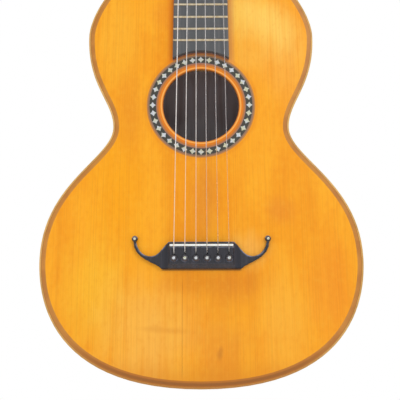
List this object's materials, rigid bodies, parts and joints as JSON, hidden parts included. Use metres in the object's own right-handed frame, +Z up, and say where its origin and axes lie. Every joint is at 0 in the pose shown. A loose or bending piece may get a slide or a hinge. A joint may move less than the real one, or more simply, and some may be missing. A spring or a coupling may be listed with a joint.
{
  "type": "romantic guitar",
  "caption": "Small-bodied romantic guitar with a slim waist, star rosette, moustache bridge, friction pegs in a figure-of-eight headstock and pull-out bridge pins.",
  "frame": {"origin": "on the centre line at the front edge of the nut, in the plane where the fingerboard is glued to the neck and soundboard; a wall hanger's yoke holds the neck here, under the headstock", "axes": "+Z up the neck towards the headstock, +Y from the soundboard to the back, +X towards the treble side as seen from the front"},
  "size_m": [0.3002, 0.0986, 0.9018],
  "materials": {
    "spruce_top": "amber oil varnish, satin gloss",
    "rosewood": "french polish",
    "maple_line": "varnished",
    "brown_strip": "varnished",
    "rosette_black": "varnished, with mother-of-pearl stars",
    "ebony": "polished",
    "pin_ebony": "polished, with a pearl dot",
    "neck_cedar": "french polish",
    "raw_spruce": "raw",
    "bone": "polished bone",
    "fret_brass": "worn polish",
    "wound_string": "silvered winding",
    "plain_string": "clear gut or nylon"
  },
  "bodies": {
    "guitar": {"soundboard": "spruce_top", "rosette": "rosette_black", "rib_bass": "rosewood", "rib_treble": "rosewood", "back_plate": "rosewood", "top_binding": "maple_line", "back_binding": "maple_line", "top_purfling": "brown_strip", "top_lining": "raw_spruce", "back_lining": "raw_spruce", "neck_block": "raw_spruce", "tail_block": "raw_spruce", "top_brace_1": "raw_spruce", "top_brace_2": "raw_spruce", "top_brace_3": "raw_spruce", "back_brace_1": "raw_spruce", "back_brace_2": "raw_spruce", "fingerboard": "ebony", "nut": "bone", "neck": "neck_cedar", "headstock": "neck_cedar", "bridge": "ebony", "saddle": "bone", "fret_01": "fret_brass", "fret_02": "fret_brass", "fret_03": "fret_brass", "fret_04": "fret_brass", "fret_05": "fret_brass", "fret_06": "fret_brass", "fret_07": "fret_brass", "fret_08": "fret_brass", "fret_09": "fret_brass", "fret_10": "fret_brass", "fret_11": "fret_brass", "fret_12": "fret_brass", "fret_13": "fret_brass", "fret_14": "fret_brass", "fret_15": "fret_brass", "fret_16": "fret_brass", "fret_17": "fret_brass", "fret_18": "fret_brass", "fret_19": "fret_brass", "string_6": "wound_string", "string_5": "wound_string", "string_4": "wound_string", "string_3": "plain_string", "string_2": "plain_string", "string_1": "plain_string"},
    "peg_1": {"tuning_peg_1": "pin_ebony"},
    "peg_2": {"tuning_peg_2": "pin_ebony"},
    "peg_3": {"tuning_peg_3": "pin_ebony"},
    "peg_4": {"tuning_peg_4": "pin_ebony"},
    "peg_5": {"tuning_peg_5": "pin_ebony"},
    "peg_6": {"tuning_peg_6": "pin_ebony"},
    "pin_1": {"bridge_pin_1": "pin_ebony"},
    "pin_2": {"bridge_pin_2": "pin_ebony"},
    "pin_3": {"bridge_pin_3": "pin_ebony"},
    "pin_4": {"bridge_pin_4": "pin_ebony"},
    "pin_5": {"bridge_pin_5": "pin_ebony"},
    "pin_6": {"bridge_pin_6": "pin_ebony"}
  },
  "joints": [
    {"name": "peg_1_turn", "type": "hinge", "parent": "guitar", "child": "peg_1", "pos_m": [-0.02, 0.00755, 0.04051], "axis": [0, 0.9781, -0.2079], "continuous": true},
    {"name": "peg_2_turn", "type": "hinge", "parent": "guitar", "child": "peg_2", "pos_m": [-0.02, 0.01715, 0.0857], "axis": [0, 0.9781, -0.2079], "continuous": true},
    {"name": "peg_3_turn", "type": "hinge", "parent": "guitar", "child": "peg_3", "pos_m": [-0.02, 0.02676, 0.13089], "axis": [0, 0.9781, -0.2079], "continuous": true},
    {"name": "peg_4_turn", "type": "hinge", "parent": "guitar", "child": "peg_4", "pos_m": [0.02, 0.02676, 0.13089], "axis": [0, 0.9781, -0.2079], "continuous": true},
    {"name": "peg_5_turn", "type": "hinge", "parent": "guitar", "child": "peg_5", "pos_m": [0.02, 0.01715, 0.0857], "axis": [0, 0.9781, -0.2079], "continuous": true},
    {"name": "peg_6_turn", "type": "hinge", "parent": "guitar", "child": "peg_6", "pos_m": [0.02, 0.00755, 0.04051], "axis": [0, 0.9781, -0.2079], "continuous": true},
    {"name": "pin_1_pull", "type": "slide", "parent": "guitar", "child": "pin_1", "axis": [0, -1, 0], "range_m": [0, 0.022]},
    {"name": "pin_2_pull", "type": "slide", "parent": "guitar", "child": "pin_2", "axis": [0, -1, 0], "range_m": [0, 0.022]},
    {"name": "pin_3_pull", "type": "slide", "parent": "guitar", "child": "pin_3", "axis": [0, -1, 0], "range_m": [0, 0.022]},
    {"name": "pin_4_pull", "type": "slide", "parent": "guitar", "child": "pin_4", "axis": [0, -1, 0], "range_m": [0, 0.022]},
    {"name": "pin_5_pull", "type": "slide", "parent": "guitar", "child": "pin_5", "axis": [0, -1, 0], "range_m": [0, 0.022]},
    {"name": "pin_6_pull", "type": "slide", "parent": "guitar", "child": "pin_6", "axis": [0, -1, 0], "range_m": [0, 0.022]}
  ]
}
